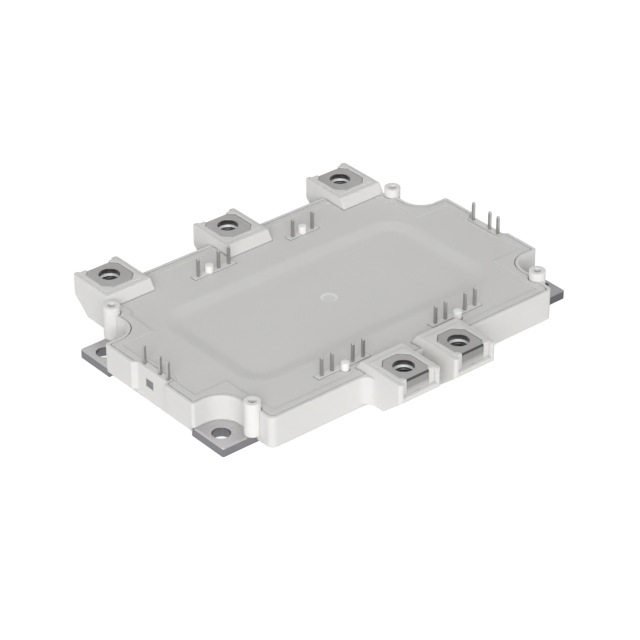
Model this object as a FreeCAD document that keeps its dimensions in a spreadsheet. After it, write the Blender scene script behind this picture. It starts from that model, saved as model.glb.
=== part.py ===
"""Three-phase power module: base plate, moulded frame and lid, terminals, pins and the sealed circuit.

The frame of reference has X along the long side, Y from the supply side to the output side and Z up.
The origin is the centre of the base plate's underside.  Everything is in millimetres.
"""
import FreeCAD, Part
import math
import operator
import os
import Sketcher

# Driving dimensions: word, value
DIMENSIONS = [
    # Base plate
    ("plate_length", 130.0),
    ("plate_width", 66.5),
    ("plate_thickness", 3.0),
    ("plate_end_recess", 2.8),
    ("plate_corner_radius", 0.6),
    ("plate_edge_break", 0.45),
    ("bolt_pitch_x", 121.3),
    ("bolt_pitch_y", 53.9),
    ("bolt_hole_diameter", 5.5),
    # Frame outline
    ("end_overhang", 0.3),
    ("front_wall_y", 40.0),
    ("back_wall_y", 44.6),
    ("rim_height", 11.0),
    ("front_corner_x", 53.3),
    ("front_skirt_height", 1.2),
    ("back_skirt_height", 2.2),
    ("outer_end_skirt_height", 1.95),
    ("end_skirt_height", 0.4),
    ("notch_radius", 6.6),
    ("end_corner_radius", 0.8),
    ("side_corner_radius", 2.0),
    ("end_recess_depth", 1.4),
    ("end_recess_half", 6.6),
    ("seat_gap", 0.2),
    ("ear_step", 1.0),
    # Room inside the frame
    ("cavity_length", 101.0),
    ("cavity_width", 60.4),
    ("end_bay_length", 119.0),
    ("end_bay_width", 33.0),
    ("ledge_height", 6.0),
    ("ledge_width", 2.7),
    # Lid
    ("rim_width", 1.0),
    ("lid_thickness", 1.6),
    ("lid_gap", 0.25),
    ("border_width", 2.3),
    ("border_step", 0.2),
    ("dish_length", 97.0),
    ("dish_width", 52.0),
    ("dish_centre_y", -0.6),
    ("dish_slope", 8.0),
    ("dish_depth", 1.1),
    ("dish_corner", 12.0),
    ("dish_wall", 1.2),
    # Terminal blocks
    ("terminal_row_y", 46.3),
    ("phase_pitch", 44.4),
    ("supply_pitch", 20.7),
    ("supply_centre_x", -0.4),
    ("phase_block_width", 16.0),
    ("supply_block_width", 15.3),
    ("block_reach", 7.3),
    ("block_run_in", 9.4),
    ("block_top", 13.9),
    ("block_root", 0.6),
    ("block_nose_height", 7.8),
    ("block_heel_height", 2.1),
    ("block_heel_reach", 0.4),
    ("ramp_run", 2.0),
    ("lip_width", 1.2),
    ("lip_height", 0.3),
    ("root_radius", 3.5),
    ("block_corner_radius", 0.9),
    ("nose_recess_width", 12.4),
    # Terminal strips and nuts
    ("strip_top", 14.0),
    ("strip_thickness", 1.0),
    ("strip_width", 8.2),
    ("strip_reach", 6.1),
    ("phase_pad_width", 11.4),
    ("supply_pad_width", 10.3),
    ("phase_pad_run_in", 6.7),
    ("supply_pad_run_in", 5.8),
    ("pad_shoulder", 5.2),
    ("pad_corner_cut", 2.6),
    ("bend_radius", 0.8),
    ("foot_start_y", 25.0),
    ("foot_length", 3.5),
    ("sill_height", 9.1),
    ("leg_notch_depth", 2.5),
    ("leg_notch_length", 2.4),
    ("terminal_hole_diameter", 6.4),
    ("nut_flats", 10.0),
    ("nut_height", 4.0),
    ("nut_room_height", 5.0),
    ("nut_bore_diameter", 5.1),
    ("nut_gap", 0.1),
    ("screw_room_width", 6.8),
    ("screw_room_floor", 4.6),
    # Standoffs and posts
    ("standoff_pitch_x", 107.8),
    ("standoff_pitch_y", 64.9),
    ("standoff_diameter", 5.0),
    ("standoff_top", 13.7),
    ("pilot_diameter", 2.3),
    ("pilot_depth", 7.0),
    ("post_diameter", 2.5),
    ("post_top", 13.3),
    ("front_post_x", 21.3),
    ("front_post_y", 33.5),
    ("back_post_x", 17.9),
    ("back_post_y", 32.6),
    # Signal pins
    ("pin_size", 0.8),
    ("pin_top", 17.0),
    ("pin_taper", 0.25),
    ("pin_pitch", 3.81),
    ("end_pin_pitch", 3.65),
    ("pin_foot_thickness", 0.8),
    ("front_row_y", 31.7),
    ("back_row_y", 32.6),
    ("end_row_x", 62.7),
    ("end_row_start_y", 5.0),
    ("front_left_start_x", -28.4),
    ("front_right_start_x", 14.3),
    ("back_left_start_x", -22.0),
    ("back_right_start_x", 14.1),
    ("island_half_depth", 1.1),
    ("island_margin", 1.9),
    # Windows in the end walls and their plugs
    ("window_y", 1.45),
    ("window_width", 3.5),
    ("window_bottom", 4.8),
    ("window_top", 7.5),
    ("window_depth", 2.6),
    ("plug_inset", 0.3),
    # Hollows under the side flanges
    ("core_wall", 1.3),
    ("core_roof", 1.6),
    # Circuit
    ("substrate_pitch", 33.0),
    ("substrate_length", 31.0),
    ("substrate_width", 51.0),
    ("substrate_thickness", 0.8),
    ("track_thickness", 0.3),
    ("track_margin", 0.5),
    ("track_split_y", 2.0),
    ("track_gap", 1.0),
    ("chip_thickness", 0.3),
    ("transistor_size", 10.0),
    ("diode_size", 6.2),
    ("chip_column_x", 7.6),
    ("high_transistor_y", -6.5),
    ("high_diode_y", -17.5),
    ("low_transistor_y", 9.0),
    ("low_diode_y", 17.9),
    ("ribbon_width", 0.5),
    ("ribbon_thickness", 0.25),
    ("ribbon_rise", 1.2),
    ("ribbon_step", 2.4),
    ("sensor_length", 3.2),
    ("sensor_width", 1.6),
    ("sensor_height", 0.9),
    ("gel_top", 5.9),
]

# Bodies of many features, whose faces are merged once, by the last feature
REFINED_AT_THE_END = ("housing_frame",)

# Place in its row and side of the module
TERMINALS = {
    "phase_u": (-1, "back"),
    "phase_v": (0, "back"),
    "phase_w": (1, "back"),
    "dc_plus": (-0.5, "front"),
    "dc_minus": (0.5, "front"),
}

doc = FreeCAD.newDocument("power_module")


# Sizes that stay tied to the sheet

class Length:
    """A size in millimetres together with the sheet formula that it follows."""

    def __init__(self, value, formula):
        self.value = value
        self.formula = formula

    def __add__(self, other):
        return combine(self, "+", other)

    def __radd__(self, other):
        return combine(other, "+", self)

    def __sub__(self, other):
        return combine(self, "-", other)

    def __rsub__(self, other):
        return combine(other, "-", self)

    def __mul__(self, other):
        return combine(self, "*", other)

    def __rmul__(self, other):
        return combine(other, "*", self)

    def __truediv__(self, other):
        return combine(self, "/", other)

    def __neg__(self):
        return combine(0, "-", self)


WORK = {"+": operator.add, "-": operator.sub, "*": operator.mul, "/": operator.truediv}


def as_length(number):
    if isinstance(number, Length):
        return number
    if number < 0:
        return Length(number, f"(0 - {-number})")
    return Length(number, f"{number}")


def combine(left, sign, right):
    left, right = as_length(left), as_length(right)
    return Length(WORK[sign](left.value, right.value), f"({left.formula} {sign} {right.formula})")


def make_sheet():
    """Writes the driving dimensions into the sheet and gives each one as a Length."""
    sheet = doc.addObject("Spreadsheet::Sheet", "sizes")
    sizes = {}
    for row, (word, value) in enumerate(DIMENSIONS, start=1):
        sheet.set(f"A{row}", word)
        sheet.set(f"B{row}", str(value))
        sheet.setAlias(f"B{row}", word)
        sizes[word] = Length(value, f"sizes.{word}")
    doc.recompute()
    return sizes


size = make_sheet()


# Sketches: every corner and centre is held by its two distances from the origin

def new_body(name):
    body = doc.addObject("PartDesign::Body", name)
    body.Label = name
    return body


def new_sketch(body, plane, level):
    """An empty sketch on one of the body's origin planes, moved along the plane's normal."""
    sketch = body.newObject("Sketcher::SketchObject", f"{body.Name}_sketch")
    support = next(feature for feature in body.Origin.OriginFeatures if feature.Role == plane)
    sketch.AttachmentSupport = [(support, "")]
    sketch.MapMode = "FlatFace"
    level = as_length(level)
    sketch.AttachmentOffset = FreeCAD.Placement(FreeCAD.Vector(0, 0, level.value), FreeCAD.Rotation())
    sketch.setExpression("AttachmentOffset.Base.z", level.formula)
    return sketch


def hold_points(sketch, points):
    """Ties points to the origin; each is given as geometry, end of it, X and Y."""
    ties = []
    for geometry, end, x, y in points:
        ties.append(("DistanceX", geometry, end, as_length(x)))
        ties.append(("DistanceY", geometry, end, as_length(y)))
    made = [Sketcher.Constraint(kind, -1, 1, geometry, end, way.value) for kind, geometry, end, way in ties]
    for index, tie in zip(sketch.addConstraint(made), ties):
        sketch.setExpression(f"Constraints[{index}]", tie[3].formula)


def add_polygon(sketch, corners):
    count = len(corners)
    first = sketch.GeometryCount
    points = [FreeCAD.Vector(as_length(x).value, as_length(y).value, 0) for x, y in corners]
    following = [(i + 1) % count for i in range(count)]
    sketch.addGeometry([Part.LineSegment(points[i], points[n]) for i, n in enumerate(following)], False)
    joins = [Sketcher.Constraint("Coincident", first + i, 2, first + n, 1) for i, n in enumerate(following)]
    sketch.addConstraint(joins)
    hold_points(sketch, [(first + i, 1, x, y) for i, (x, y) in enumerate(corners)])


def add_rectangle(sketch, x, y, length, width):
    """A rectangle given by its centre."""
    left, right = x - length / 2, x + length / 2
    near, far = y - width / 2, y + width / 2
    add_polygon(sketch, [(left, near), (right, near), (right, far), (left, far)])


def add_circle(sketch, x, y, diameter):
    x, y, radius = as_length(x), as_length(y), as_length(diameter) / 2
    middle = FreeCAD.Vector(x.value, y.value, 0)
    circle = sketch.addGeometry(Part.Circle(middle, FreeCAD.Vector(0, 0, 1), radius.value), False)
    hold_points(sketch, [(circle, 3, x, y)])
    index = sketch.addConstraint(Sketcher.Constraint("Radius", circle, radius.value))
    sketch.setExpression(f"Constraints[{index}]", radius.formula)


# Features

def extrude(body, kind, sketch, length, both_ways=False):
    feature = body.newObject(f"PartDesign::{kind}", f"{body.Name}_{kind.lower()}")
    feature.Profile = sketch
    feature.Refine = body.Name not in REFINED_AT_THE_END
    feature.Length = length.value
    feature.setExpression("Length", length.formula)
    if both_ways:
        feature.SideType = "Symmetric"
    return feature


def pad_up(body, bottom, top, draw):
    """A pad between two heights, with the outline that draw() puts in its sketch."""
    bottom, top = as_length(bottom), as_length(top)
    sketch = new_sketch(body, "XY_Plane", bottom)
    draw(sketch)
    return extrude(body, "Pad", sketch, top - bottom)


def cut_down(body, top, bottom, draw):
    """A pocket between two heights; a change of volume proves that it cuts."""
    bottom, top = as_length(bottom), as_length(top)
    doc.recompute()
    before = body.Shape.Volume
    sketch = new_sketch(body, "XY_Plane", top)
    draw(sketch)
    feature = extrude(body, "Pocket", sketch, top - bottom)
    doc.recompute()
    if not body.Shape.Volume < before:
        raise ValueError(f"{feature.Name} cuts nothing")
    return feature


def across(body, kind, x, width, corners):
    """A pad or pocket of a side profile, given as Y and Z, of a width centred on x."""
    sketch = new_sketch(body, "YZ_Plane", x)
    add_polygon(sketch, corners)
    return extrude(body, kind, sketch, as_length(width), both_ways=True)


def upright_edges(shape, places):
    """The straight upright edges that stand on the given X and Y places."""
    names = []
    for number, edge in enumerate(shape.Edges, start=1):
        if len(edge.Vertexes) != 2:
            continue
        low, high = (vertex.Point for vertex in edge.Vertexes)
        if math.hypot(low.x - high.x, low.y - high.y) > 1e-6:
            continue
        if any(math.hypot(low.x - x, low.y - y) < 1e-4 for x, y in places):
            names.append(f"Edge{number}")
    return names


def soften(body, kind, base, names, size_of_it):
    """A fillet or chamfer on named edges of the feature before it."""
    feature = body.newObject(f"PartDesign::{kind}", f"{body.Name}_{kind.lower()}")
    feature.Base = (base, names)
    word = "Radius" if kind == "Fillet" else "Size"
    setattr(feature, word, size_of_it.value)
    feature.setExpression(word, size_of_it.formula)
    return feature


def round_corners(body, corners, radius):
    doc.recompute()
    base = body.Tip
    places = [(as_length(x).value, as_length(y).value) for x, y in corners]
    return soften(body, "Fillet", base, upright_edges(base.Shape, places), radius)


# Shared places

plate_half_length = size["plate_length"] / 2
plate_half_width = size["plate_width"] / 2
bolt_x = size["bolt_pitch_x"] / 2
bolt_y = size["bolt_pitch_y"] / 2
frame_end = plate_half_length + size["end_overhang"]
end_wall = frame_end - size["end_recess_depth"]
notch_x = bolt_x - size["notch_radius"]
notch_y = bolt_y - size["notch_radius"]
back_corner_x = size["phase_pitch"] + size["phase_block_width"] / 2
lid_bottom = size["rim_height"] - size["lid_thickness"]
strip_bottom = size["strip_top"] - size["strip_thickness"]
nut_bottom = strip_bottom - size["nut_room_height"]
track_top = size["plate_thickness"] + size["substrate_thickness"] + size["track_thickness"]
chip_top = track_top + size["chip_thickness"]


def mirrored(x, y):
    return [(x, y), (-x, y), (x, -y), (-x, -y)]


def terminal_x(name):
    step, side = TERMINALS[name]
    if side == "back":
        return step * size["phase_pitch"]
    return size["supply_centre_x"] + step * size["supply_pitch"]


def side_sign(name):
    return 1 if TERMINALS[name][1] == "back" else -1


def outward(name, distance):
    """A Y place at a distance from the terminal's hole, positive away from the module."""
    return side_sign(name) * (size["terminal_row_y"] + distance)


def plate_outline(gap):
    """The base plate's outline in plan, with a recess in each end, grown by a gap."""
    ear_y = notch_y - size["ear_step"] - gap
    end = plate_half_length + gap
    inner_end = plate_half_length - size["plate_end_recess"] + gap
    side = plate_half_width + gap
    right = [(end, -side), (end, -ear_y), (inner_end, -ear_y), (inner_end, ear_y), (end, ear_y), (end, side)]
    return right + [(-x, y) for x, y in reversed(right)]


def frame_outline(inset):
    """The frame's outline in plan, moved inwards by an inset."""
    end = frame_end - inset
    inner_end = end - size["end_recess_depth"]
    recess = size["end_recess_half"]
    facet = recess + size["end_recess_depth"]
    front = -(size["front_wall_y"] - inset)
    back = size["back_wall_y"] - inset
    side_x, step_y = notch_x - inset, notch_y - inset
    front_x, back_x = size["front_corner_x"] - inset, back_corner_x - inset
    jog_y = size["standoff_pitch_y"] / 2 - inset
    right = [
        (front_x, front), (front_x, -jog_y), (side_x, -jog_y), (side_x, -step_y), (end, -step_y),
        (end, -facet), (inner_end, -recess), (inner_end, recess), (end, facet),
        (end, step_y), (side_x, step_y), (side_x, jog_y), (back_x, jog_y), (back_x, back),
    ]
    return right + [(-x, y) for x, y in reversed(right)]


def round_frame_corners(body, inset):
    """The round corners of the frame's outline, at the same inset as the outline."""
    side_x, step_y = notch_x - inset, notch_y - inset
    end = frame_end - inset
    front_x, front = size["front_corner_x"] - inset, -(size["front_wall_y"] - inset)
    round_corners(body, mirrored(side_x, step_y), size["notch_radius"] + inset)
    round_corners(body, [(front_x, front), (-front_x, front)], size["side_corner_radius"] - inset * 0.5)
    round_corners(body, mirrored(end, step_y), size["end_corner_radius"] - inset * 0.3)


def pin_places():
    """Name, X, Y and the way the foot points, for every signal pin."""
    places = []
    end_steps = (0, 2, 3)
    for side, sign in (("left", -1), ("right", 1)):
        for number, step in enumerate(end_steps, start=1):
            y = size["end_row_start_y"] - step * size["end_pin_pitch"]
            places.append((f"{side}_end_pin_{number}", sign * size["end_row_x"], y, (-sign, 0)))
    rows = [
        ("phase_side", "back_left_start_x", (0, 2, 3), size["back_row_y"], -1),
        ("phase_side", "back_right_start_x", (0, 2), size["back_row_y"], -1),
        ("dc_side", "front_left_start_x", (0, 1, 3, 4), -size["front_row_y"], 1),
        ("dc_side", "front_right_start_x", (0, 1, 3, 4), -size["front_row_y"], 1),
    ]
    counts = {"phase_side": 0, "dc_side": 0}
    for side, start, steps, y, way in rows:
        for step in steps:
            counts[side] += 1
            x = size[start] + step * size["pin_pitch"]
            places.append((f"{side}_pin_{counts[side]}", x, y, (0, way)))
    return places


def pin_islands():
    """Centre and size in plan of each raised strip of the frame that a group of pins stands in."""
    islands = []
    groups = [("back_left_start_x", 3, 1), ("back_right_start_x", 2, 1),
              ("front_left_start_x", 4, -1), ("front_right_start_x", 4, -1)]
    for start, steps, way in groups:
        row = size["back_row_y"] if way > 0 else -size["front_row_y"]
        span = steps * size["pin_pitch"]
        middle = size[start] + span / 2
        islands.append((middle, row, span + 2 * size["island_margin"], 2 * size["island_half_depth"]))
    for way in (-1, 1):
        y = size["end_row_start_y"] - 1.5 * size["end_pin_pitch"]
        length = 3 * size["end_pin_pitch"] + 2 * size["island_half_depth"]
        islands.append((way * size["end_row_x"], y, 2 * size["island_half_depth"], length))
    return islands


def posts():
    front = [(sign * size["front_post_x"], -size["front_post_y"]) for sign in (-1, 1)]
    back = [(sign * size["back_post_x"], size["back_post_y"]) for sign in (-1, 1)]
    return front + back


def standoffs():
    return mirrored(size["standoff_pitch_x"] / 2, size["standoff_pitch_y"] / 2)


# Base plate

def make_base_plate():
    body = new_body("base_plate")
    pad_up(body, 0, size["plate_thickness"], lambda sketch: add_polygon(sketch, plate_outline(0)))
    round_corners(body, mirrored(plate_half_length, plate_half_width), size["plate_corner_radius"])

    def draw_bolt_holes(sketch):
        for x, y in mirrored(bolt_x, bolt_y):
            add_circle(sketch, x, y, size["bolt_hole_diameter"])

    break_top_edges(body, size["plate_thickness"].value)
    cut_down(body, size["plate_thickness"], 0, draw_bolt_holes)


def break_top_edges(body, height):
    doc.recompute()
    base = body.Tip
    names = []
    for number, edge in enumerate(base.Shape.Edges, start=1):
        box = edge.BoundBox
        if abs(box.ZMin - height) < 1e-6 and abs(box.ZMax - height) < 1e-6:
            names.append(f"Edge{number}")
    soften(body, "Chamfer", base, names, size["plate_edge_break"])


# Moulded frame

def block_profile(name):
    """Side profile of a terminal block as Y and Z: ramp, flat top, nose and the sloped underside."""
    ramp_top = -size["block_run_in"]
    ramp_foot = ramp_top - size["ramp_run"]
    inner = plate_half_width + size["seat_gap"] + size["block_root"] - size["terminal_row_y"]
    nose = size["block_reach"]
    heel, heel_bottom = size["block_heel_reach"], size["block_heel_height"]
    top, rim = size["block_top"], size["rim_height"]
    profile = [
        (inner, heel_bottom), (heel, heel_bottom), (nose, size["block_nose_height"]), (nose, top),
        (ramp_top, top), (ramp_foot, rim), (ramp_foot, lid_bottom), (inner, lid_bottom),
    ]
    return [(outward(name, along), height) for along, height in profile]


def block_width(name):
    return size["phase_block_width" if side_sign(name) > 0 else "supply_block_width"]


def pad_width(name):
    return size["phase_pad_width" if side_sign(name) > 0 else "supply_pad_width"]


def pad_run_in(name):
    return size["phase_pad_run_in" if side_sign(name) > 0 else "supply_pad_run_in"]


def pad_outline(name, gap):
    """The flat connection pad in plan: four cut corners and a narrower bend at the outer end."""
    x = terminal_x(name)
    half = pad_width(name) / 2 + gap
    neck = size["strip_width"] / 2 + gap
    inner = -pad_run_in(name) - gap
    cut = size["pad_corner_cut"]
    shoulder = size["pad_shoulder"]
    right = [
        (half - cut, inner), (half, inner + cut), (half, shoulder - half + neck), (neck, shoulder),
        (neck, size["strip_reach"]),
    ]
    ring = right + [(-along, away) for along, away in reversed(right)]
    return [(x + along, outward(name, away)) for along, away in ring]


def make_housing_frame():
    body = new_body("housing_frame")
    rim = size["rim_height"]
    outline = frame_outline(as_length(0))
    pad_up(body, size["end_skirt_height"], rim, lambda sketch: add_polygon(sketch, outline))
    round_frame_corners(body, as_length(0))
    cut_frame_underside(body)
    cut_frame_rooms(body)
    for name in TERMINALS:
        add_terminal_block(body, name)
    add_block_roots(body)
    add_block_lips(body)
    add_pin_islands(body)
    add_standoffs_and_posts(body)
    cut_terminal_seats(body)
    cut_pin_slots(body)
    cut_end_windows(body)
    cut_flange_cores(body)
    body.Tip.Refine = True
    doc.recompute()


def cut_frame_underside(body):
    """The skirts end at their own heights, and the whole frame sits over the base plate."""
    reach = size["back_wall_y"] + 1
    outer_end = size["end_recess_depth"] + 1

    def draw_side_skirt(sign):
        middle = sign * (notch_y + reach) / 2
        return lambda sketch: add_rectangle(sketch, as_length(0), middle, 2 * notch_x + 1, reach - notch_y)

    def draw_outer_ends(sketch):
        for sign in (-1, 1):
            add_rectangle(sketch, sign * (end_wall + outer_end / 2), as_length(0), outer_end, 2 * notch_y + 2)

    bottom = size["end_skirt_height"]
    cut_down(body, size["front_skirt_height"], bottom, draw_side_skirt(-1))
    cut_down(body, size["back_skirt_height"], bottom, draw_side_skirt(1))
    cut_down(body, size["outer_end_skirt_height"], bottom, draw_outer_ends)
    outline = plate_outline(size["seat_gap"])
    cut_down(body, size["plate_thickness"], bottom, lambda sketch: add_polygon(sketch, outline))


def room_outline(step):
    """The room for the circuit in plan: a wide middle and a narrower bay at each end."""
    half_length = size["cavity_length"] / 2
    half_width = size["cavity_width"] / 2 - step
    bay_end = size["end_bay_length"] / 2 - step
    bay_half = size["end_bay_width"] / 2
    right = [(half_length, -half_width), (half_length, -bay_half), (bay_end, -bay_half),
             (bay_end, bay_half), (half_length, bay_half), (half_length, half_width)]
    return right + [(-x, y) for x, y in reversed(right)]


def cut_frame_rooms(body):
    """The circuit room, the ledge for the pin feet above it and the rebate for the lid."""
    rim = size["rim_height"]
    ledge = size["ledge_width"]
    cut_down(body, rim, size["plate_thickness"], lambda sketch: add_polygon(sketch, room_outline(ledge)))
    cut_down(body, rim, size["ledge_height"], lambda sketch: add_polygon(sketch, room_outline(as_length(0))))
    cut_down(body, rim, lid_bottom, lambda sketch: add_polygon(sketch, frame_outline(size["rim_width"])))
    round_frame_corners(body, size["rim_width"])


def add_terminal_block(body, name):
    across(body, "Pad", terminal_x(name), block_width(name), block_profile(name))
    half = block_width(name) / 2
    nose = outward(name, size["block_reach"])
    corners = [(terminal_x(name) - half, nose), (terminal_x(name) + half, nose)]
    round_corners(body, corners, size["block_corner_radius"])


def add_block_lips(body):
    """A raised lip round each connection pad."""
    lip = size["lip_width"]
    outer = size["block_reach"] - size["block_corner_radius"]

    def draw_lips(sketch):
        for name in TERMINALS:
            inner = -pad_run_in(name) - lip
            middle = outward(name, (inner + outer) / 2)
            add_rectangle(sketch, terminal_x(name), middle, pad_width(name) + 2 * lip, outer - inner)

    pad_up(body, size["block_top"], size["block_top"] + size["lip_height"], draw_lips)


def add_block_roots(body):
    """Hollow corners between the front wall and the outer sides of the two supply blocks."""
    side = (size["supply_pitch"] + size["supply_block_width"]) / 2
    middle = size["supply_centre_x"]
    wall = -size["front_wall_y"]
    round_corners(body, [(middle + side, wall), (middle - side, wall)], size["root_radius"])


def add_pin_islands(body):
    def draw_islands(sketch):
        for x, y, length, width in pin_islands():
            add_rectangle(sketch, x, y, length, width)

    pad_up(body, lid_bottom, size["rim_height"], draw_islands)


def add_standoffs_and_posts(body):
    def draw_standoffs(sketch):
        for x, y in standoffs():
            add_circle(sketch, x, y, size["standoff_diameter"])

    def draw_posts(sketch):
        for x, y in posts():
            add_circle(sketch, x, y, size["post_diameter"])

    def draw_pilots(sketch):
        for x, y in standoffs():
            add_circle(sketch, x, y, size["pilot_diameter"])

    pad_up(body, size["plate_thickness"], size["standoff_top"], draw_standoffs)
    pad_up(body, lid_bottom, size["post_top"], draw_posts)
    cut_down(body, size["standoff_top"], size["standoff_top"] - size["pilot_depth"], draw_pilots)


def cut_terminal_seats(body):
    """Room for the bent strips, the recesses in the noses, the nuts and the tips of the screws."""
    top = size["block_top"] + size["lip_height"]
    gap, row = size["nut_gap"], as_length(0)
    flats = size["nut_flats"] + 2 * gap
    screw = size["screw_room_width"]
    outer = size["strip_reach"]
    inner = outer - size["strip_thickness"]
    nose = size["block_reach"] + 1
    room_wall = size["cavity_width"] / 2 - 1 - size["terminal_row_y"]
    leg_bottom = nut_bottom - size["strip_thickness"]

    def for_each_terminal(draw):
        def draw_all(sketch):
            for name in TERMINALS:
                draw(sketch, name)
        return draw_all

    def slot(start, end, width="strip_width"):
        def draw(sketch, name):
            middle = outward(name, (start + end) / 2)
            add_rectangle(sketch, terminal_x(name), middle, size[width], end - start)
        return draw

    def draw_seat(sketch, name):
        add_polygon(sketch, pad_outline(name, gap))

    def draw_nut_room(sketch, name):
        add_polygon(sketch, hexagon(terminal_x(name), outward(name, row), flats))

    def draw_screw_room(sketch, name):
        add_rectangle(sketch, terminal_x(name), outward(name, row), screw, screw)

    cut_down(body, top, strip_bottom, for_each_terminal(draw_seat))
    cut_down(body, top, size["sill_height"], for_each_terminal(slot(outer, nose, "nose_recess_width")))
    cut_down(body, strip_bottom, nut_bottom, for_each_terminal(draw_nut_room))
    cut_down(body, nut_bottom, size["screw_room_floor"], for_each_terminal(draw_screw_room))
    cut_down(body, top, leg_bottom, for_each_terminal(slot(inner, outer)))
    cut_down(body, nut_bottom, leg_bottom, for_each_terminal(slot(room_wall, inner)))


def hexagon(x, y, flats):
    """Six corners, with two flats facing along Y."""
    radius = flats / math.sqrt(3)
    half = radius / 2
    return [(x + radius, y), (x + half, y + flats / 2), (x - half, y + flats / 2),
            (x - radius, y), (x - half, y - flats / 2), (x + half, y - flats / 2)]


def cut_pin_slots(body):
    """An upright slot for each pin and a flat one for its foot."""
    thickness = size["pin_size"]
    foot_top = size["ledge_height"] + size["pin_foot_thickness"]

    def draw_uprights(sketch):
        for _, x, y, _ in pin_places():
            add_rectangle(sketch, x, y, thickness, thickness)

    def draw_feet(sketch):
        for _, x, y, (way_x, way_y) in pin_places():
            start = (x if way_x else y) - (way_x + way_y) * thickness / 2
            end = -(way_x + way_y) * (room_edge(way_x) - 1)
            if way_x:
                add_rectangle(sketch, (start + end) / 2, y, absolute(end - start), thickness)
            else:
                add_rectangle(sketch, x, (start + end) / 2, thickness, absolute(end - start))

    cut_down(body, size["rim_height"], size["ledge_height"], draw_uprights)
    cut_down(body, foot_top, size["ledge_height"], draw_feet)


def room_edge(along_x):
    """Half the room's size at ledge height, along X in the end bays or along Y in the middle."""
    return size["end_bay_length" if along_x else "cavity_width"] / 2


def absolute(length):
    return length if length.value >= 0 else -length


def window_corners():
    """The square window of an end wall, as Y and Z."""
    near, far = size["window_y"] - size["window_width"] / 2, size["window_y"] + size["window_width"] / 2
    bottom, top = size["window_bottom"], size["window_top"]
    return [(near, bottom), (far, bottom), (far, top), (near, top)]


def cut_end_windows(body):
    """A blind square window in the middle of each end wall, which takes a plug."""
    depth = size["window_depth"]
    for sign in (-1, 1):
        middle = sign * (end_wall + (1 - depth) / 2)
        across(body, "Pocket", middle, depth + 1, window_corners())


def cut_flange_cores(body):
    """Hollows from below in the thick side flanges, between the terminal blocks."""
    wall = size["core_wall"]
    inner = plate_half_width + size["seat_gap"] + wall
    roof = lid_bottom - size["core_roof"]
    corner = size["front_corner_x"] - size["side_corner_radius"] - wall
    block_half = size["phase_block_width"] / 2
    back = [(-size["phase_pitch"] + block_half + wall, -block_half - wall),
            (block_half + wall, size["phase_pitch"] - block_half - wall)]
    supply_side = (size["supply_pitch"] + size["supply_block_width"]) / 2 + size["root_radius"] + wall
    supply_side = supply_side - size["supply_centre_x"]
    middle = (corner + supply_side) / 2
    front = [(supply_side, middle - wall / 2), (middle + wall / 2, corner)]
    front += [(-end, -start) for start, end in front]

    def draw_cores(sketch):
        for start, end in back:
            outer = size["back_wall_y"] - wall
            add_rectangle(sketch, (start + end) / 2, (inner + outer) / 2, end - start, outer - inner)
        for start, end in front:
            outer = size["front_wall_y"] - wall
            add_rectangle(sketch, (start + end) / 2, -(inner + outer) / 2, end - start, outer - inner)

    cut_down(body, roof, size["end_skirt_height"], draw_cores)


# Lid

def make_lid():
    body = new_body("lid")
    inset = size["rim_width"] + size["lid_gap"]
    rim = size["rim_height"]
    pad_up(body, lid_bottom, rim, lambda sketch: add_polygon(sketch, frame_outline(inset)))
    round_frame_corners(body, inset)
    floor = rim - size["dish_depth"] - size["dish_wall"]
    pad_up(body, floor, lid_bottom, draw_lid_boss)
    cut_down(body, rim, rim - size["border_step"], draw_lid_field)
    cut_dish(body)
    cut_down(body, rim, floor - 1, draw_lid_openings)
    cut_down(body, rim, floor - 1, draw_lid_post_holes)
    doc.recompute()


def draw_lid_field(sketch):
    """The field inside the lid's raised border."""
    add_polygon(sketch, frame_outline(size["rim_width"] + size["lid_gap"] + size["border_width"]))


def draw_dish_outline(sketch, shrink):
    """The dish's rounded outline, moved inwards."""
    length, width = size["dish_length"] - 2 * shrink, size["dish_width"] - 2 * shrink
    radius = size["dish_corner"] - shrink
    add_rounded_rectangle(sketch, as_length(0), size["dish_centre_y"], length, width, radius)


def draw_lid_boss(sketch):
    """The thicker middle under the dish."""
    draw_dish_outline(sketch, size["dish_slope"] * 0.4)


def dish_steps():
    """Share of the slope's run and of the dish's depth at each section, for a soft S shape."""
    return [(0, 0), (0.2, 0.06), (0.5, 0.5), (0.8, 0.94), (1, 1)]


def cut_dish(body):
    """The dished middle as a loft through rounded rectangles, each lower and smaller than the last."""
    sections = []
    for run, fall in dish_steps():
        sketch = new_sketch(body, "XY_Plane", size["rim_height"] - size["dish_depth"] * fall)
        draw_dish_outline(sketch, size["dish_slope"] * run)
        sections.append(sketch)
    loft = body.newObject("PartDesign::SubtractiveLoft", f"{body.Name}_dish")
    loft.Profile = sections[0]
    loft.Sections = sections[1:]
    loft.Ruled = True


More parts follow.
